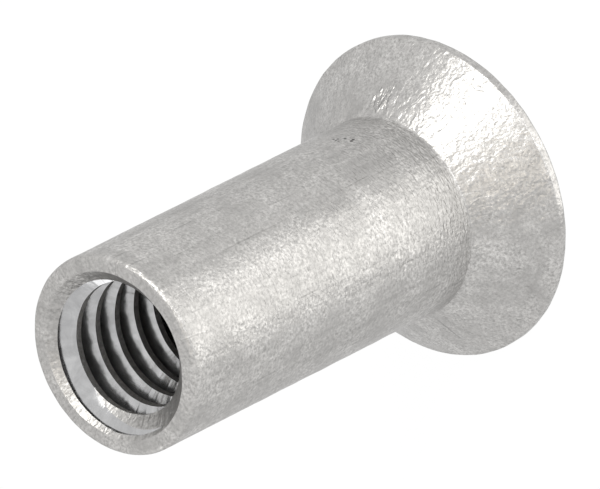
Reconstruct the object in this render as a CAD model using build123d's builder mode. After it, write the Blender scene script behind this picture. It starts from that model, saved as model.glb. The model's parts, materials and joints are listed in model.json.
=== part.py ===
from build123d import *

import math
import os

# A sleeve nut: a round barrel, tapped from its open end, with a countersunk head.
# It is turned from one piece of steel. It stands on its head: the origin is the
# centre of the head's flat face, and +Z runs along the axis to the barrel's mouth.
# Sizes are in millimetres, and angles in degrees.

# Overall length, from the head's face to the mouth's face
LENGTH = 12.0

# Thread, with the ISO metric basic profile. The hole has the diameter of its crests,
# as it is before the tap goes in; the fine grooves belong to the surface's detail.
THREAD_DIAMETER = 4.0
THREAD_PITCH = 0.7
THREAD_FLANK_ANGLE = 60.0

# Barrel
BARREL_WALL = 0.5  # outside the thread's largest diameter
MOUTH_ROUND = 0.12

# Countersink at the mouth, wider than the thread
COUNTERSINK_MARGIN = 0.1
COUNTERSINK_ANGLE = 90.0

# Head
HEAD_FLARE = 1.5  # how far it stands out from the barrel
HEAD_ANGLE = 90.0
HEAD_LAND = 0.25  # short cylinder at the rim
RIM_ROUND = 0.08
NECK_ROUND = 0.12

# Hexagon socket in the head, and the solid floor between it and the hole
SOCKET_ACROSS_FLATS = 2.5
SOCKET_DEPTH = 1.3
FLOOR_THICKNESS = 1.0
DRILL_POINT_ANGLE = 118.0

thread_radius = THREAD_DIAMETER / 2
barrel_radius = thread_radius + BARREL_WALL
head_radius = barrel_radius + HEAD_FLARE
neck_height = HEAD_LAND + HEAD_FLARE / math.tan(math.radians(HEAD_ANGLE / 2))

# The basic profile is a sharp V whose root is cut flat by an eighth of its height,
# and whose crest is cut flat by a quarter, so five eighths of the height are left.
sharp_height = THREAD_PITCH / 2 / math.tan(math.radians(THREAD_FLANK_ANGLE / 2))
hole_radius = thread_radius - sharp_height * 5 / 8

hole_point = SOCKET_DEPTH + FLOOR_THICKNESS
hole_bottom = hole_point + hole_radius / math.tan(math.radians(DRILL_POINT_ANGLE / 2))

countersink_radius = thread_radius + COUNTERSINK_MARGIN
countersink_slope = math.tan(math.radians(COUNTERSINK_ANGLE / 2))
countersink_depth = (countersink_radius - hole_radius) / countersink_slope

with BuildPart() as sleeve_nut:
    # The blank
    with BuildSketch(Plane.XZ) as half_section:
        with BuildLine():
            Polyline(
                (0, 0),
                (head_radius, 0),
                (head_radius, HEAD_LAND),
                (barrel_radius, neck_height),
                (barrel_radius, LENGTH),
                (0, LENGTH),
                close=True,
            )
        make_face()
        fillet(half_section.vertices().group_by(Axis.X)[-1], RIM_ROUND)
        fillet(half_section.vertices().group_by(Axis.X)[1].sort_by(Axis.Y)[0], NECK_ROUND)
        fillet(half_section.vertices().group_by(Axis.X)[1].sort_by(Axis.Y)[-1], MOUTH_ROUND)
    revolve(axis=Axis.Z)

    # The drilled and countersunk hole
    with BuildSketch(Plane.XZ):
        with BuildLine():
            Polyline(
                (0, hole_point),
                (hole_radius, hole_bottom),
                (hole_radius, LENGTH - countersink_depth),
                (countersink_radius, LENGTH),
                (0, LENGTH),
                close=True,
            )
        make_face()
    revolve(axis=Axis.Z, mode=Mode.SUBTRACT)

    # The hexagon socket
    with BuildSketch(Plane.XY):
        RegularPolygon(SOCKET_ACROSS_FLATS / 2, 6, major_radius=False)
    extrude(amount=SOCKET_DEPTH, mode=Mode.SUBTRACT)

sleeve_nut.part.label = "sleeve_nut"

os.makedirs("parts", exist_ok=True)
export_step(sleeve_nut.part, "parts/sleeve_nut.step")
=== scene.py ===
"""A zinc-coated sleeve nut: a round barrel with a cut thread, and a countersunk head.

The file is laid out as an add-on and run as a script. Lengths are in metres, and the
nut stands on its head with its axis along +Z. Its surface is worked out with numpy:
every piece of it is a function of the angle round the axis and of a second number
that runs along the section.
"""

import json
import math

import bmesh
import bpy
import numpy as np
from bpy.props import FloatProperty, FloatVectorProperty, IntProperty, PointerProperty
from mathutils import Matrix, Vector


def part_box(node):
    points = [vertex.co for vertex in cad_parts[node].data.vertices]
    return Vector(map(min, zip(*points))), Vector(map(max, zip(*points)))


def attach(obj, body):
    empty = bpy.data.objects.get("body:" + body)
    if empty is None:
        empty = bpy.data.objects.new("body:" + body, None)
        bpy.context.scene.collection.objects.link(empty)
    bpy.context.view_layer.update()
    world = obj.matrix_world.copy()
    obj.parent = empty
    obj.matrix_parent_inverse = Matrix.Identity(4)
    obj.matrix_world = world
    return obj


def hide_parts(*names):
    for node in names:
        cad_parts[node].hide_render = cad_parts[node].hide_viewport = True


bl_info = {
    "name": "Sleeve nut",
    "version": (1, 0, 0),
    "blender": (4, 5, 0),
    "location": "View3D > Sidebar > Sleeve nut",
    "description": "Makes a zinc-coated sleeve nut with a cut thread, and its stage",
    "category": "Object",
}

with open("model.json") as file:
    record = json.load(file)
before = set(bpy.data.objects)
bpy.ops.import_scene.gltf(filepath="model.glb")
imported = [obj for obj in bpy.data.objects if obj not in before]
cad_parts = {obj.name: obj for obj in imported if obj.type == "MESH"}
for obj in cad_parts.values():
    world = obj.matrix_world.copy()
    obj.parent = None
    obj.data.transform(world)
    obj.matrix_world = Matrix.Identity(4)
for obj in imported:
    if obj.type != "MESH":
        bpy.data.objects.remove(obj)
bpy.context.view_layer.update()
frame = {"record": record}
NODE = "sleeve_nut"
LOW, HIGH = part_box(NODE)
MOUNTS = {mount["name"]: mount for mount in frame["record"]["mounts"]}
MILLIMETRE = 0.001
CREST_RADIUS = MOUNTS["thread"]["dims"]["r_mm"] * MILLIMETRE
BARREL_RADIUS = MOUNTS["barrel"]["dims"]["r_mm"] * MILLIMETRE

# the head and the countersink are cones whose sides lean this far from the axis
CONE = math.radians(45)
THREAD_FLANK = math.radians(30)

# slow unevenness of the skin: its mean wavelength, and how many waves are added up
UNEVEN_WAVELENGTH = 0.0006
UNEVEN_WAVES = 40
MERGE_DISTANCE = 0.000002
SHARP_EDGE = math.radians(28)

# the pits fill a thin ellipsoid, with these half widths, leaning by this angle
PITS_REACH = (0.0003, 0.00038, 0.00013)
PITS_LEAN = math.radians(30)
ROUGH_SPOT_REACH = 0.00045

# long dark lines on the skin: angle and height of each end, in degrees and millimetres,
# and the share of the colour left. The first, down the head, is a painted shade line where
# the head reflects the barrel; the two along the barrel are scratches
MARKS_AND_PAINTED_SHADE = (
    # painted shade: a dark line down the head where it reflects the barrel
    (-186.2, 1.74, -191.5, 0.6, 0.70),
    (-65.2, 7.4, -65.0, 9.7, 0.76),
    (-65.4, 1.9, -65.0, 3.9, 0.86),
)
MARK_HALF_WIDTH = 0.00003

FLOOR_REACH = 0.6
FLOOR_HEIGHT = -0.00001
LAMP_DISTANCE = 0.1

# each lamp: its name, its direction in the view's own right, up and towards the viewer,
# half of the angle in degrees at which the nut sees it, its radiance and its colour
LAMPS = (
    ("key", (-0.35, 0.46, 0.82), 17.5, 3.65, (1.0, 0.99, 0.955)),
    ("side", (0.94, 0.34, 0.01), 26.0, 1.05, (1.0, 0.985, 0.94)),
    ("edge", (0.50, 0.38, 0.78), 13.0, 2.6, (1.0, 1.0, 1.0)),
    ("warm fill", (0.04, -0.12, 0.99), 11.0, 0.75, (1.0, 0.88, 0.70)),
    ("back", (-0.395, -0.884, -0.25), 7.0, 1.6, (1.0, 1.0, 1.0)),
)


def length(name, description, default, **more):
    """A length property, shown with enough figures for a small part."""
    return FloatProperty(
        name=name, description=description, default=default, min=0.0,
        unit="LENGTH", precision=6, **more,
    )


def angle(name, description, degrees):
    """An angle property, given in degrees."""
    return FloatProperty(
        name=name, description=description, default=math.radians(degrees), unit="ROTATION",
    )


def colour(name, description, default):
    """A colour property without alpha."""
    return FloatVectorProperty(
        name=name, description=description, default=default, subtype="COLOR",
        min=0.0, max=1.0,
    )


def share(name, description, default):
    """A number from 0 to 1."""
    return FloatProperty(
        name=name, description=description, default=default, min=0.0, max=1.0, subtype="FACTOR",
    )


class SleeveNutSizes(bpy.types.PropertyGroup):
    """The nut's sizes. Overall sizes come from the frame."""

    pitch: length("Thread pitch", "Rise of the thread in one turn", 0.0007)
    start_angle: angle("Thread start", "Where the lowest turn begins, from +X", 50.0)
    runout: length("Thread run-out", "Plain hole below the lowest turn", 0.0007)
    countersink_radius: length("Countersink radius", "Radius of the mouth's edge", 0.0021)
    mouth_round: length("Mouth round", "Radius of the mouth's outer edge", 0.00015)
    neck_round: length("Neck round", "Radius between the barrel and the head", 0.00012)
    head_land: length("Head land", "Height of the short cylinder at the rim", 0.00025)
    rim_round: length("Rim round", "Radius of the rim's two edges", 0.00008)
    socket_flats: length("Socket across flats", "Width of the hexagon socket", 0.0025)
    socket_depth: length("Socket depth", "Depth of the hexagon socket", 0.0013)
    floor: length("Floor", "Metal between the socket and the hole's point", 0.001)
    drill_angle: angle("Drill point", "Full angle of the hole's point", 118.0)
    columns: IntProperty(
        name="Columns", description="Facets round the axis", default=288, min=36, step=36,
    )
    relief: length("Relief", "Height of the zinc skin's slow unevenness", 0.000003)


class SleeveNutFinish(bpy.types.PropertyGroup):
    """Colours and gloss of the zinc skin and of the cut thread."""

    zinc_light: colour("Light zinc", "Paler patches of the skin", (0.532, 0.522, 0.509))
    zinc_dark: colour("Dark zinc", "Darker patches of the skin", (0.398, 0.390, 0.380))
    zinc_roughness: share("Zinc roughness", "Mean roughness of the skin", 0.38)
    zinc_grain: length("Zinc grain", "Size of the skin's small bumps", 0.0002)
    pit_angle: angle("Pits' place", "Where the skin has a few pits, from +X", -31.0)
    pit_height: length("Pits' height", "Height of the pits above the neck", 0.00155)
    spot_angle: angle("Rough spot's place", "Where the head is rougher, from +X", -25.0)
    spot_height: length("Rough spot's height", "Height of the rough spot", 0.0014)
    zinc_relief: length("Zinc relief", "Height of the skin's small bumps", 0.00002)
    edge_tint: colour("Edge tint", "Share of the gloss left when seen edge on", (0.78, 0.78, 0.78))
    steel: colour("Cut steel", "Bright flanks of the thread", (0.48, 0.48, 0.483))
    steel_roughness: share("Steel roughness", "Roughness of the flanks", 0.2)
    steel_relief: length("Steel relief", "Height of the marks on the flanks", 0.000025)


class SleeveNutStage(bpy.types.PropertyGroup):
    """Camera and light."""

    elevation: angle("Elevation", "Camera's height above the horizon", 44.6)
    roll: angle("Roll", "Turn of the view, anticlockwise", 116.73)
    lens: FloatProperty(
        name="Lens", description="Focal length in millimetres", default=1350.0, min=50.0,
    )
    view_width: length("View width", "Width of the view at the nut", 0.014194)
    aim_right: FloatProperty(
        name="Aim right", description="Aim beside the nut's middle", default=0.000562,
        unit="LENGTH", precision=6,
    )
    aim_up: FloatProperty(
        name="Aim up", description="Aim above the nut's middle", default=0.000700,
        unit="LENGTH", precision=6,
    )
    surroundings: share("Surroundings", "Brightness of the room's light", 0.5)


# ---------------------------------------------------------------- surfaces


def straight(start, end, steps):
    """Points on the straight line from start to end, without its end."""
    t = np.linspace(0.0, 1.0, steps, endpoint=False)[:, None]
    return np.asarray(start) * (1 - t) + np.asarray(end) * t


def arc(centre, radius, first, last, steps):
    """Points of a circle about centre from one angle to another, without the last."""
    a = np.radians(np.linspace(first, last, steps, endpoint=False))
    return np.column_stack([centre[0] + radius * np.cos(a), centre[1] + radius * np.sin(a)])


def revolved(section, angles, hexagon=None):
    """A grid of points: each point of the section (radius, height) is carried round the
    axis. hexagon gives, for each section point, how far its circle is drawn in to a
    hexagon: 0 is a circle, and 1 is a hexagon with that circle round its corners."""
    radius, height = section.T
    pull = np.zeros(len(section)) if hexagon is None else hexagon
    sixth = math.pi / 3
    inset = math.cos(sixth / 2) / np.cos(np.mod(angles, sixth) - sixth / 2)
    r = radius[:, None] * (1 + pull[:, None] * (inset[None, :] - 1))
    z = np.repeat(height[:, None], len(angles), axis=1)
    return np.stack([r * np.cos(angles), r * np.sin(angles), z], axis=-1)


def neck_height(s):
    """Where the head's cone would meet the barrel, without the neck's round."""
    return s.head_land + (HIGH[0] - BARREL_RADIUS) / math.tan(CONE)


def outer_section(s):
    """The section from the mouth's inner edge down the barrel, round the head and into
    the socket: straight runs joined by round corners that touch both neighbours.
    Returns the points, and for each how hexagonal its ring is."""
    top, rim = HIGH[2], HIGH[0]
    neck = neck_height(s)
    # a round between the cone and a straight side touches the side this share of its
    # radius away from their corner
    lean = math.tan(CONE / 2)
    neck_centre = (BARREL_RADIUS + s.neck_round, neck + s.neck_round * lean)
    cone_top = (
        neck_centre[0] - s.neck_round * math.cos(CONE),
        neck_centre[1] - s.neck_round * math.sin(CONE),
    )
    upper = (rim - s.rim_round, s.head_land - s.rim_round * lean)
    lower = (rim - s.rim_round, s.rim_round)
    cone_end = (
        upper[0] + s.rim_round * math.cos(CONE),
        upper[1] + s.rim_round * math.sin(CONE),
    )
    mouth_centre = (BARREL_RADIUS - s.mouth_round, top - s.mouth_round)
    corner = s.socket_flats / math.sqrt(3)
    # each run of points, and how hexagonal its rings are: None grows from 0 to 1
    runs = [
        (straight((s.countersink_radius, top), (mouth_centre[0], top), 5), 0),
        (arc(mouth_centre, s.mouth_round, 90, 0, 6), 0),
        (straight((BARREL_RADIUS, mouth_centre[1]), (BARREL_RADIUS, neck_centre[1]), 68), 0),
        (arc(neck_centre, s.neck_round, 180, 225, 4), 0),
        (straight(cone_top, cone_end, 16), 0),
        (arc(upper, s.rim_round, 45, 0, 3), 0),
        (straight((rim, upper[1]), (rim, lower[1]), 3), 0),
        (arc(lower, s.rim_round, 0, -90, 4), 0),
        (straight((lower[0], 0), (corner + s.rim_round, 0), 8), None),
        (straight((corner + s.rim_round, 0), (corner, s.rim_round), 1), 1),
        (straight((corner, s.rim_round), (corner, s.socket_depth), 6), 1),
        (straight((corner, s.socket_depth), (0, s.socket_depth), 4), 1),
    ]
    points, pulls = [], []
    for run, pull in runs:
        points.append(run)
        pulls.append(np.linspace(0, 1, len(run)) ** 2 if pull is None else np.full(len(run), pull))
    points.append(np.array([[0.0, s.socket_depth]]))
    pulls.append(np.ones(1))
    return np.concatenate(points), np.concatenate(pulls)


def turns_below(s):
    """Whole turns of the bore's strip that lie below the start of the lowest groove."""
    return math.ceil((s.runout + s.pitch) / s.pitch)


def bore_surface(s):
    """The threaded wall, as one strip that climbs the helix from below the hole's foot to
    above the mouth. Across the strip runs the thread's section: lower flank, root, upper
    flank and crest, each a straight line. A point's radius is the largest of the crest's,
    the groove's and the countersink's, which is a 45 degree cone down from the mouth. Each
    line is split where it meets that cone, so that the edge between them is clean. Heights
    are then held between the hole's foot and the mouth.
    Returns the grid of points, and for each row step whether it belongs to the groove."""
    top = HIGH[2]
    # the basic profile: a sharp V of which five eighths are left, with a flat root
    flank_slope = math.tan(THREAD_FLANK)
    depth = s.pitch / 2 / flank_slope * 5 / 8
    root_half = s.pitch / 16
    mouth_half = root_half + depth * flank_slope
    foot = s.socket_depth + s.floor + CREST_RADIUS / math.tan(s.drill_angle / 2)
    lowest = foot + s.runout

    turns_above = math.ceil((top + mouth_half - lowest) / s.pitch)
    turn = np.arange(-turns_below(s) * s.columns, turns_above * s.columns + 1) / s.columns
    centre = lowest + s.pitch * turn
    cut = np.where(turn > 0, depth, 0.0)

    # each line of the section: start and end, as height from the groove's middle and
    # share of the groove's depth, then its steps before and after the split
    lines = [
        (-mouth_half, 0.0, -root_half, 1.0, 3, 2),
        (-root_half, 1.0, root_half, 1.0, 1, 1),
        (root_half, 1.0, mouth_half, 0.0, 2, 2),
        (mouth_half, 0.0, s.pitch - mouth_half, 0.0, 2, 1),
    ]
    heights, radii, groove = [], [], []
    for start, start_cut, end, end_cut, before, after in lines:
        z0, z1 = centre + start, centre + end
        r0, r1 = CREST_RADIUS + cut * start_cut, CREST_RADIUS + cut * end_cut
        gap0 = s.countersink_radius - (top - z0) - r0
        gap1 = s.countersink_radius - (top - z1) - r1
        crosses = gap0 * gap1 < 0
        split = np.where(crosses, gap0 / np.where(crosses, gap0 - gap1, 1.0), 0.5)
        split = np.clip(split, 0.04, 0.96)
        first = np.linspace(0, 1, before, endpoint=False)[:, None] * split
        second = split + np.linspace(0, 1, after, endpoint=False)[:, None] * (1 - split)
        t = np.concatenate([first, second])
        heights.append(z0 + (z1 - z0) * t)
        radii.append(r0 + (r1 - r0) * t)
        groove.append(np.full(len(t), start_cut + end_cut > 0))
    heights.append((centre + s.pitch - mouth_half)[None, :])
    radii.append(np.full((1, len(centre)), CREST_RADIUS))
    z = np.clip(np.concatenate(heights), foot, top)
    r = np.maximum(np.concatenate(radii), s.countersink_radius - (top - z))
    a = s.start_angle + turn * 2 * math.pi
    return np.stack([r * np.cos(a), r * np.sin(a), z], axis=-1), np.concatenate(groove), foot


def waves(points, wavelength, count, seed):
    """Smooth noise about 0: plane waves of random direction and phase, added up, with
    lengths from half of the given wavelength to twice it."""
    rng = np.random.default_rng(seed)
    direction = rng.normal(size=(count, 3))
    direction /= np.linalg.norm(direction, axis=1, keepdims=True)
    span = wavelength * 2.0 ** rng.uniform(-1, 1, count)
    phase = rng.uniform(0, 2 * math.pi, count)
    turns = points @ (direction / span[:, None]).T * 2 * math.pi + phase
    return np.sin(turns).sum(axis=1) / math.sqrt(count)


def grid_faces(rows, columns, offset, closed):
    """Quads of a grid whose points are numbered row by row. A closed grid's last column
    is joined to its first."""
    last = columns if closed else columns - 1
    i, j = np.meshgrid(np.arange(rows - 1), np.arange(last), indexing="ij")
    k = (j + 1) % columns
    here, below = i * columns, (i + 1) * columns
    quads = np.stack([here + j, below + j, below + k, here + k], axis=-1)
    return quads.reshape(-1, 4) + offset


def nut_mesh(s):
    """One closed surface: the hole's point, the threaded wall, and the outside with the
    socket. The parts share their edge points, which are merged."""
    angles = s.start_angle + np.arange(s.columns) * 2 * math.pi / s.columns
    wall, in_groove, foot = bore_surface(s)
    outside, pull = outer_section(s)
    tip = foot - CREST_RADIUS / math.tan(s.drill_angle / 2)
    point = np.concatenate([
        straight((0.0, tip), (CREST_RADIUS, foot), 4),
        [[CREST_RADIUS, foot]],
    ])
    grids = [
        (revolved(point, angles), True),
        (wall, False),
        (revolved(outside, angles, pull), True),
    ]

    points, faces, materials, offset = [], [], [], 0
    for grid, closed in grids:
        rows, columns = grid.shape[:2]
        quads = grid_faces(rows, columns, offset, closed)
        points.append(grid.reshape(-1, 3))
        faces.append(quads)
        materials.append(np.zeros(len(quads), dtype=int))
        offset += rows * columns
    points, faces = np.concatenate(points), np.concatenate(faces)

    # groove faces are bare steel, except where the countersink has cut them away
    rows, columns = wall.shape[:2]
    r = np.hypot(wall[..., 0], wall[..., 1])
    clear = r - (s.countersink_radius - (HIGH[2] - wall[..., 2]))
    middle = (clear[:-1, :-1] + clear[1:, :-1] + clear[:-1, 1:] + clear[1:, 1:]) / 4
    cut_far_enough = np.arange(columns - 1) > turns_below(s) * s.columns
    bare = in_groove[:, None] & (middle > 1e-7) & cut_far_enough[None, :]
    materials[1] = bare.astype(int).reshape(-1)
    return points, faces, np.concatenate(materials)


# ---------------------------------------------------------------- materials


def new_material(name):
    """A material with nodes. Returns it, its node tree and its Principled BSDF."""
    material = bpy.data.materials.new(name)
    material.use_nodes = True
    return material, material.node_tree, material.node_tree.nodes["Principled BSDF"]


def add_node(tree, kind, at, values=None, **settings):
    """A shader node at a place in the editor, with its settings and input values."""
    node = tree.nodes.new(kind)
    node.location = at
    for name, value in settings.items():
        setattr(node, name, value)
    for name, value in (values or {}).items():
        node.inputs[name].default_value = value
    return node


def join(tree, source, target):
    """Links one socket to another."""
    tree.links.new(source, target)


def math_node(tree, at, operation, *values, links=()):
    """A math node. values fill its inputs in order, and None leaves one to a link."""
    node = add_node(tree, "ShaderNodeMath", at, operation=operation)
    for socket, value in zip(node.inputs, values):
        if value is not None:
            socket.default_value = value
    for index, source in links:
        join(tree, source, node.inputs[index])
    return node.outputs[0]


def product(tree, at, first, second):
    """One value times another."""
    return math_node(tree, at, "MULTIPLY", links=((0, first), (1, second)))


def vector_node(tree, at, operation, source, values=None):
    """A vector math node whose first input is linked."""
    node = add_node(tree, "ShaderNodeVectorMath", at, values, operation=operation)
    join(tree, source, node.inputs[0])
    return node


def mixed(tree, at, first, second, part):
    """A mix of two values: part is the second one's part in it."""
    node = add_node(tree, "ShaderNodeMix", at, {0: part})
    join(tree, first, node.inputs[2])
    join(tree, second, node.inputs[3])
    return node.outputs[0]


def ramp(tree, at, source, low, high, start, end):
    """Carries source from low..high to start..end, and holds it at both ends."""
    node = add_node(tree, "ShaderNodeMapRange", at, {
        "From Min": low, "From Max": high, "To Min": start, "To Max": end,
    })
    join(tree, source, node.inputs["Value"])
    return node.outputs[0]


def grain_group():
    """A node group with the grain of a turned part. Patterns are laid round the axis: a
    point's direction from the axis is drawn on a drum of fixed radius, and half its
    radius minus its height, times Stretch, runs along the drum. So a small Stretch draws
    marks out along the part, and a large one draws them out round it.
    Grain is fine relief, Lines are drawn out marks, Scratches are few thin ones and 0
    elsewhere, Tone is slow mottling, and Speckle is fine mottling that keeps no direction
    and is stronger where Tone is light.
    All run from 0 to 1."""
    group = bpy.data.node_groups.new("turned grain", "ShaderNodeTree")
    face = group.interface
    face.new_socket("Position", in_out="INPUT", socket_type="NodeSocketVector")
    defaults = (
        ("Grain Size", 0.0001), ("Cloud Size", 0.001), ("Stretch", 0.6), ("Line Stretch", 0.06),
    )
    for name, default in defaults:
        socket = face.new_socket(name, in_out="INPUT", socket_type="NodeSocketFloat")
        socket.default_value = default
    for name in ("Grain", "Lines", "Scratches", "Tone", "Speckle"):
        face.new_socket(name, in_out="OUTPUT", socket_type="NodeSocketFloat")
    entry = add_node(group, "NodeGroupInput", (-1600, 0))
    out = add_node(group, "NodeGroupOutput", (600, 0))
    position, size = entry.outputs["Position"], entry.outputs["Grain Size"]

    across = vector_node(group, (-1400, 200), "MULTIPLY", position, {1: (1, 1, 0)})
    direction = vector_node(group, (-1200, 200), "NORMALIZE", across.outputs[0])
    drum = vector_node(group, (-1000, 200), "SCALE", direction.outputs[0], {"Scale": 0.0028})
    radius = vector_node(group, (-1200, 0), "LENGTH", across.outputs[0])
    split = add_node(group, "ShaderNodeSeparateXYZ", (-1400, -100))
    join(group, position, split.inputs[0])
    half = math_node(
        group, (-1000, 100), "MULTIPLY", None, 0.5, links=((0, radius.outputs["Value"]),),
    )
    along = math_node(group, (-1000, 0), "SUBTRACT", links=((0, half), (1, split.outputs["Z"])))

    def laid(stretch, at):
        """The drum's coordinates, with the run along it shrunk."""
        run = product(group, (at[0] - 400, at[1]), along, entry.outputs[stretch])
        up = add_node(group, "ShaderNodeCombineXYZ", (at[0] - 200, at[1]))
        join(group, run, up.inputs["Z"])
        whole = vector_node(group, at, "ADD", drum.outputs[0])
        join(group, up.outputs[0], whole.inputs[1])
        return whole.outputs[0]

    def noise(vector, size, factor, at, **values):
        """Noise whose cells are size / factor wide."""
        scale = math_node(group, (at[0] - 200, at[1] - 120), "DIVIDE", factor, links=((1, size),))
        node = add_node(group, "ShaderNodeTexNoise", at)
        for name, value in values.items():
            node.inputs[name.title()].default_value = value
        join(group, vector, node.inputs["Vector"])
        join(group, scale, node.inputs["Scale"])
        return node.outputs["Fac"]

    drawn = laid("Stretch", (-300, 300))
    coarse = noise(drawn, size, 1.0, (0, 300), detail=1.5, roughness=0.5, distortion=0.8)
    loose = noise(position, size, 2.2, (0, 60), detail=1.0, roughness=0.5)
    relief = mixed(group, (250, 200), coarse, loose, 0.25)

    drawn = laid("Line Stretch", (-300, -200))
    lines = noise(drawn, size, 1.0, (0, -200), detail=2.0, roughness=0.55)
    thin = noise(drawn, size, 3.2, (0, -1000), detail=0.0, distortion=0.4)
    scratches = ramp(group, (250, -1000), thin, 0.23, 0.17, 0.0, 1.0)

    cloud_size = entry.outputs["Cloud Size"]
    cloud = noise(
        position, cloud_size, 1.0, (0, -450), detail=5.0, roughness=0.65, distortion=0.7,
    )
    speck = noise(position, size, 2.5, (0, -700), detail=2.0, roughness=0.7)
    strength = ramp(group, (200, -450), cloud, 0.38, 0.62, 0.55, 1.6)
    middled = math_node(group, (200, -700), "SUBTRACT", None, 0.5, links=((0, speck),))
    uneven = math_node(
        group, (400, -700), "MULTIPLY_ADD", None, None, 0.5, links=((0, middled), (1, strength)),
    )
    results = (relief, lines, scratches, cloud, uneven)
    for source, result in zip(results, out.inputs):
        join(group, source, result)
    return group


def grain(tree, group, place, **values):
    """The grain group placed in a material, with its values."""
    node = add_node(tree, "ShaderNodeGroup", (-1100, 0), node_tree=group)
    for name, value in values.items():
        node.inputs[name.replace("_", " ").title()].default_value = value
    join(tree, place, node.inputs["Position"])
    return node


def spot(tree, at, place, centre, turn, reach, core):
    """A mask that is 1 in the middle of an ellipsoid and 0 outside it. turn is the
    ellipsoid's Euler angles, reach its half widths, and core the share of them that is
    full."""
    laid = add_node(tree, "ShaderNodeMapping", at, {
        "Location": centre, "Rotation": turn, "Scale": reach,
    }, vector_type="TEXTURE")
    join(tree, place, laid.inputs["Vector"])
    far = vector_node(tree, (at[0] + 200, at[1]), "LENGTH", laid.outputs[0])
    return ramp(tree, (at[0] + 400, at[1]), far.outputs["Value"], core, 1.0, 1.0, 0.0)


def skin_point(neck, angle, height):
    """The point of the outside at an angle and a height: on the barrel, or below the neck
    on the head's cone."""
    radius = BARREL_RADIUS + max(neck - height, 0.0) * math.tan(CONE)
    return Vector((radius * math.cos(angle), radius * math.sin(angle), height))


def mark(tree, at, place, start, end, half_width):
    """A mask for a thin straight mark from one point to another."""
    run = end - start
    turn = Vector((1, 0, 0)).rotation_difference(run).to_euler()
    reach = (run.length / 2, half_width, half_width)
    return spot(tree, at, place, (start + end) / 2, turn, reach, 0.4)


def blemishes_and_painted_shade(tree, finish, place, neck):
    """The share of the colour that is left by a few pits in a short row near the neck, and
    by the long lines: 1 elsewhere. The first long line is painted shade down the head."""
    centre = skin_point(neck, finish.pit_angle, neck + finish.pit_height)
    turn = (PITS_LEAN, 0.0, finish.pit_angle)
    near = spot(tree, (-1700, 500), place, centre, turn, PITS_REACH, 0.85)
    cells = add_node(tree, "ShaderNodeTexVoronoi", (-1500, 800), {"Scale": 8000.0})
    join(tree, place, cells.inputs["Vector"])
    dots = ramp(tree, (-1300, 800), cells.outputs["Distance"], 0.28, 0.42, 1.0, 0.0)
    pits = product(tree, (-1100, 650), near, dots)
    left = ramp(tree, (-900, 650), pits, 0.0, 1.0, 1.0, 0.12)
    # the first line is painted shade down the head; the others are scratches along the barrel
    for step, (angle_0, height_0, angle_1, height_1, part) in enumerate(MARKS_AND_PAINTED_SHADE):
        row = 1200 + 200 * step
        start = skin_point(neck, math.radians(angle_0), height_0 * MILLIMETRE)
        end = skin_point(neck, math.radians(angle_1), height_1 * MILLIMETRE)
        line = mark(tree, (-1900, row), place, start, end, MARK_HALF_WIDTH)
        dark = ramp(tree, (-1300, row), line, 0.0, 1.0, 1.0, part)
        left = product(tree, (-1100, row), left, dark)
    return left


def zinc_colour(tree, finish, node, place, neck, inner_radius):
    """The skin's colour: dark and light zinc by Tone, times the specks, lines, scratches,
    pits, two long scratches and a painted shade line down the head. Inside inner_radius,
    in the hole, it is darkened by painted shade."""
    tone = add_node(tree, "ShaderNodeMix", (-500, 300), data_type="RGBA")
    tone.inputs[6].default_value = (*finish.zinc_dark, 1)
    tone.inputs[7].default_value = (*finish.zinc_light, 1)
    join(tree, ramp(tree, (-700, 400), node.outputs["Tone"], 0.3, 0.7, 0.0, 1.0), tone.inputs[0])
    fleck = ramp(tree, (-700, 150), node.outputs["Speckle"], 0.25, 0.75, 0.73, 1.27)
    line = ramp(tree, (-700, -50), node.outputs["Lines"], 0.25, 0.75, 0.9, 1.1)
    scratch = ramp(tree, (-700, -450), node.outputs["Scratches"], 0.0, 1.0, 1.0, 0.75)
    level = vector_node(tree, (-900, -800), "MULTIPLY", place, {1: (1, 1, 0)})
    radius = vector_node(tree, (-700, -900), "LENGTH", level.outputs[0]).outputs["Value"]
    # painted shade: the skin inside the countersink's radius, in the hole, is drawn 7 percent
    # darker
    hole_painted_shade = ramp(tree, (-500, -900), radius, inner_radius * 0.98, inner_radius, 0.93, 1.0)
    factor = product(tree, (-500, 50), fleck, line)
    for source in (scratch, blemishes_and_painted_shade(tree, finish, place, neck), hole_painted_shade):
        factor = product(tree, (-400, 50), factor, source)
    shade = vector_node(tree, (-300, 200), "SCALE", tone.outputs[2])
    join(tree, factor, shade.inputs["Scale"])
    return shade.outputs[0]


def zinc_relief(tree, finish, node, place, neck, barrel):
    """The skin's bumps, which are a little higher on the head, and much higher at one
    rough spot there. Returns the bent normal."""
    relief = finish.zinc_relief
    depth = ramp(tree, (-700, -550), barrel, 0.0, 1.0, relief * 2.3, relief * 2)
    centre = skin_point(neck, finish.spot_angle, finish.spot_height)
    reach = (ROUGH_SPOT_REACH,) * 3
    rougher = spot(tree, (-1300, -700), place, centre, (0, 0, 0), reach, 0.3)
    deeper = ramp(tree, (-700, -750), rougher, 0.0, 1.0, 1.0, 4.5)
    bump = add_node(tree, "ShaderNodeBump", (-300, -300), {"Strength": 1.0})
    height = mixed(tree, (-500, -350), node.outputs["Grain"], node.outputs["Lines"], 0.25)
    join(tree, product(tree, (-500, -600), depth, deeper), bump.inputs["Distance"])
    join(tree, height, bump.inputs["Height"])
    return bump.outputs["Normal"]


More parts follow.
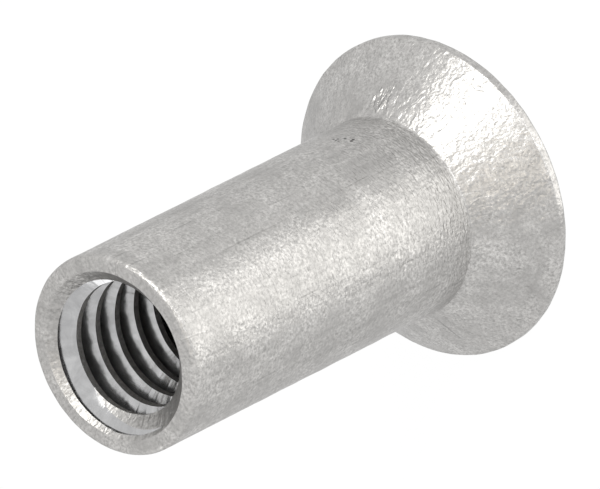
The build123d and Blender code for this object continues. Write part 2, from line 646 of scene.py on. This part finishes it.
def zinc_skin(finish, neck, inner_radius, group):
    """Hot-dip zinc: a matt metal with faint patches, fine speckle, lines along the part,
    and small bumps that break up its highlights. Above the neck the bumps are drawn out
    round the barrel; below it they are larger and drawn out down the head. Inside
    inner_radius, in the hole, the colour is darkened by painted shade."""
    material, tree, shader = new_material("zinc skin")
    place = add_node(tree, "ShaderNodeTexCoord", (-1900, -200)).outputs["Object"]
    node = grain(tree, group, place, cloud_size=0.0011)
    split = add_node(tree, "ShaderNodeSeparateXYZ", (-1700, -200))
    join(tree, place, split.inputs[0])
    barrel = math_node(
        tree, (-1500, -200), "GREATER_THAN", None, neck, links=((0, split.outputs["Z"]),),
    )

    def by_part(at, on_head, on_barrel):
        """One value on the head and another on the barrel."""
        return ramp(tree, at, barrel, 0.0, 1.0, on_head, on_barrel)

    size = by_part((-1300, 150), finish.zinc_grain * 0.85, finish.zinc_grain)
    join(tree, size, node.inputs["Grain Size"])
    join(tree, by_part((-1300, -100), 0.6, 2.6), node.inputs["Stretch"])
    join(tree, by_part((-1300, -350), 0.3, 0.05), node.inputs["Line Stretch"])
    colour = zinc_colour(tree, finish, node, place, neck, inner_radius)
    join(tree, colour, shader.inputs["Base Color"])

    fleck = ramp(tree, (-700, -150), node.outputs["Speckle"], 0.3, 0.7, 0.07, -0.07)
    mean = by_part((-700, -300), finish.zinc_roughness - 0.06, finish.zinc_roughness)
    rough = math_node(tree, (-500, -150), "ADD", links=((0, fleck), (1, mean)))
    join(tree, rough, shader.inputs["Roughness"])
    normal = zinc_relief(tree, finish, node, place, neck, barrel)
    join(tree, normal, shader.inputs["Normal"])
    shader.inputs["Metallic"].default_value = 0.9
    shader.inputs["Specular Tint"].default_value = (*finish.edge_tint, 1)
    return material


def cut_steel(finish, group):
    """The thread's flanks: bright metal, with marks that run across the flank from the
    root to the crest."""
    material, tree, shader = new_material("cut steel")
    place = add_node(tree, "ShaderNodeTexCoord", (-1300, 0)).outputs["Object"]
    node = grain(
        tree, group, place, grain_size=0.0004, cloud_size=0.0006, stretch=0.5, line_stretch=0.15,
    )
    tone = ramp(tree, (-650, 250), node.outputs["Tone"], 0.3, 0.7, 0.8, 1.13)
    line = ramp(tree, (-650, 0), node.outputs["Lines"], 0.3, 0.7, 0.92, 1.08)
    shade = add_node(
        tree, "ShaderNodeVectorMath", (-250, 200), {0: finish.steel}, operation="SCALE",
    )
    join(tree, product(tree, (-450, 100), tone, line), shade.inputs["Scale"])
    join(tree, shade.outputs[0], shader.inputs["Base Color"])
    height = mixed(tree, (-500, -350), node.outputs["Grain"], node.outputs["Lines"], 0.3)
    bump = add_node(tree, "ShaderNodeBump", (-300, -300), {
        "Strength": 1.0, "Distance": finish.steel_relief,
    })
    join(tree, height, bump.inputs["Height"])
    join(tree, bump.outputs["Normal"], shader.inputs["Normal"])
    shader.inputs["Metallic"].default_value = 1.0
    shader.inputs["Roughness"].default_value = finish.steel_roughness
    return material


def seen_directly(tree, at):
    """1 for rays that see the backdrop itself, from the camera or by way of gloss or
    glass, and 0 for the light that falls on the nut."""
    path = add_node(tree, "ShaderNodeLightPath", at)
    seen = path.outputs["Is Camera Ray"]
    for step, name in enumerate(("Is Glossy Ray", "Is Transmission Ray")):
        beside = (at[0] + 200 + 150 * step, at[1])
        seen = math_node(tree, beside, "MAXIMUM", links=((0, seen), (1, path.outputs[name])))
    return seen


def stage_white():
    """A white floor: it glows white to the camera, with a little matt white on top that
    keeps the nut's soft shadow, and is matt white to all other light. From below it is
    clear."""
    material, tree, shader = new_material("white floor")
    tree.nodes.remove(shader)
    out = tree.nodes["Material Output"]
    seen = seen_directly(tree, (-900, 300))
    matt = add_node(tree, "ShaderNodeBsdfDiffuse", (0, 150))
    join(tree, ramp(tree, (-200, 250), seen, 0.0, 1.0, 0.8, 0.06), matt.inputs["Color"])
    glow = add_node(tree, "ShaderNodeEmission", (0, -50), {"Color": (1, 1, 1, 1)})
    join(tree, ramp(tree, (-200, -50), seen, 0.0, 1.0, 0.0, 0.97), glow.inputs["Strength"])
    both = add_node(tree, "ShaderNodeAddShader", (200, 50))
    join(tree, matt.outputs[0], both.inputs[0])
    join(tree, glow.outputs[0], both.inputs[1])
    clear = add_node(tree, "ShaderNodeBsdfTransparent", (200, -150))
    side = add_node(tree, "ShaderNodeNewGeometry", (200, 300))
    either = add_node(tree, "ShaderNodeMixShader", (400, 50))
    join(tree, side.outputs["Backfacing"], either.inputs[0])
    join(tree, both.outputs[0], either.inputs[1])
    join(tree, clear.outputs[0], either.inputs[2])
    join(tree, either.outputs[0], out.inputs["Surface"])
    return material


# ---------------------------------------------------------------- stage


def view_axes(stage):
    """The view's own right, up and towards the viewer, as the columns of a matrix. The
    camera stands in front, lifted by the elevation, and is then rolled."""
    toward = Vector((0, -math.cos(stage.elevation), math.sin(stage.elevation)))
    right = Vector((1, 0, 0))
    up = toward.cross(right)
    turn, lift = math.cos(stage.roll), math.sin(stage.roll)
    return Matrix((right * turn - up * lift, right * lift + up * turn, toward)).transposed()


def place_camera(scene, stage, axes, middle):
    """Puts the camera where the view is as wide at the nut as the stage's settings say."""
    data = bpy.data.cameras.new("camera")
    data.lens, data.sensor_width = stage.lens, 36.0
    distance = stage.view_width * stage.lens / data.sensor_width
    data.clip_start, data.clip_end = distance / 10, distance * 4
    camera = bpy.data.objects.new("camera", data)
    place = middle + axes @ Vector((stage.aim_right, stage.aim_up, distance))
    camera.matrix_world = Matrix.Translation(place) @ axes.to_4x4()
    scene.collection.objects.link(camera)
    scene.camera = camera


def lay_floor(scene):
    """A square floor, which lets the lamps below it through."""
    corners = [(-1, -1), (1, -1), (1, 1), (-1, 1)]
    mesh = bpy.data.meshes.new("floor")
    mesh.from_pydata(
        [(x * FLOOR_REACH, y * FLOOR_REACH, FLOOR_HEIGHT) for x, y in corners], [], [(0, 1, 2, 3)],
    )
    mesh.materials.append(stage_white())
    floor = bpy.data.objects.new("floor", mesh)
    scene.collection.objects.link(floor)
    floor.visible_glossy = False
    floor.visible_shadow = False


def white_room(surroundings):
    """A world that is white where it is seen, and lights the nut by surroundings."""
    world = bpy.data.worlds.new("white room")
    world.use_nodes = True
    tree = world.node_tree
    tree.nodes.clear()
    seen = seen_directly(tree, (-900, 200))
    light = add_node(tree, "ShaderNodeBackground", (-100, 0), {"Color": (1, 1, 1, 1)})
    join(tree, ramp(tree, (-300, 0), seen, 0.0, 1.0, surroundings, 1.0), light.inputs["Strength"])
    out = add_node(tree, "ShaderNodeOutputWorld", (100, 0))
    join(tree, light.outputs[0], out.inputs["Surface"])
    return world


def soft_lamp(scene, axes, target, name, toward, half_angle, radiance, tint):
    """A square lamp at a fixed distance from the target, which sees it half_angle degrees
    wide each way. Its power gives it the radiance: power = radiance * pi * area."""
    size = 2 * LAMP_DISTANCE * math.tan(math.radians(half_angle))
    data = bpy.data.lights.new(name, "AREA")
    data.size, data.energy, data.color = size, radiance * math.pi * size ** 2, tint
    lamp = bpy.data.objects.new(name, data)
    direction = (axes @ Vector(toward)).normalized()
    lamp.location = target + direction * LAMP_DISTANCE
    lamp.rotation_mode = "QUATERNION"
    lamp.rotation_quaternion = direction.to_track_quat("Z", "Y")
    lamp.visible_camera = False
    scene.collection.objects.link(lamp)


# ---------------------------------------------------------------- operators


class SLEEVE_NUT_OT_make_nut(bpy.types.Operator):
    """Make the nut: one closed surface with a zinc skin and a bright thread"""

    bl_idname = "sleeve_nut.make_nut"
    bl_label = "Make the nut"

    def execute(self, context):
        sizes, finish = context.scene.sleeve_nut_sizes, context.scene.sleeve_nut_finish
        points, faces, materials = nut_mesh(sizes)
        # the face that it stands on stays flat
        above = np.where(points[:, 2:] < 1e-9, 0.0, 1.0)
        uneven = [waves(points, UNEVEN_WAVELENGTH, UNEVEN_WAVES, seed) for seed in (1, 2, 3)]
        points = points + sizes.relief * np.stack(uneven, axis=-1) * above
        mesh = bpy.data.meshes.new("zinc_coated_nut")
        mesh.from_pydata(points.tolist(), [], faces.tolist())
        mesh.polygons.foreach_set("material_index", materials.tolist())
        form = bmesh.new()
        form.from_mesh(mesh)
        bmesh.ops.remove_doubles(form, verts=form.verts, dist=MERGE_DISTANCE)
        form.to_mesh(mesh)
        form.free()
        mesh.polygons.foreach_set("use_smooth", np.ones(len(mesh.polygons), dtype=bool))
        mesh.set_sharp_from_angle(angle=SHARP_EDGE)
        group = grain_group()
        neck = neck_height(sizes)
        mesh.materials.append(zinc_skin(finish, neck, sizes.countersink_radius, group))
        mesh.materials.append(cut_steel(finish, group))
        nut = bpy.data.objects.new("zinc_coated_nut", mesh)
        context.scene.collection.objects.link(nut)
        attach(nut, "root")
        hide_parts(NODE)
        return {"FINISHED"}


class SLEEVE_NUT_OT_set_stage(bpy.types.Operator):
    """Set the stage: a white floor, soft light and the camera"""

    bl_idname = "sleeve_nut.set_stage"
    bl_label = "Set the stage"

    def execute(self, context):
        scene, stage = context.scene, context.scene.sleeve_nut_stage
        middle = Vector((0, 0, (LOW[2] + HIGH[2]) / 2))
        axes = view_axes(stage)
        place_camera(scene, stage, axes, middle)
        lay_floor(scene)
        scene.world = white_room(stage.surroundings)
        for name, toward, half_angle, radiance, tint in LAMPS:
            soft_lamp(scene, axes, middle, name, toward, half_angle, radiance, tint)
        scene.view_settings.view_transform = "Standard"
        return {"FINISHED"}


class SLEEVE_NUT_PT_panel(bpy.types.Panel):
    """Lists the operators and what they read"""

    bl_label = "Sleeve nut"
    bl_idname = "SLEEVE_NUT_PT_panel"
    bl_space_type = "VIEW_3D"
    bl_region_type = "UI"
    bl_category = "Sleeve nut"

    def draw(self, context):
        for operator, group in STEPS:
            self.layout.operator(operator.bl_idname)
            for name in group:
                settings = getattr(context.scene, name)
                for key in settings.__annotations__:
                    self.layout.prop(settings, key)


STEPS = (
    (SLEEVE_NUT_OT_make_nut, ("sleeve_nut_sizes", "sleeve_nut_finish")),
    (SLEEVE_NUT_OT_set_stage, ("sleeve_nut_stage",)),
)
GROUPS = {
    "sleeve_nut_sizes": SleeveNutSizes,
    "sleeve_nut_finish": SleeveNutFinish,
    "sleeve_nut_stage": SleeveNutStage,
}
CLASSES = (*GROUPS.values(), SLEEVE_NUT_OT_make_nut, SLEEVE_NUT_OT_set_stage, SLEEVE_NUT_PT_panel)


def register():
    """Makes the classes and the settings known to Blender."""
    for cls in CLASSES:
        bpy.utils.register_class(cls)
    for name, group in GROUPS.items():
        setattr(bpy.types.Scene, name, PointerProperty(type=group))


def unregister():
    """Takes the settings and the classes away again."""
    for name in GROUPS:
        delattr(bpy.types.Scene, name)
    for cls in reversed(CLASSES):
        bpy.utils.unregister_class(cls)


def main():
    """Makes the nut and its stage."""
    register()
    bpy.ops.sleeve_nut.make_nut()
    bpy.ops.sleeve_nut.set_stage()


if __name__ == "__main__":
    main()
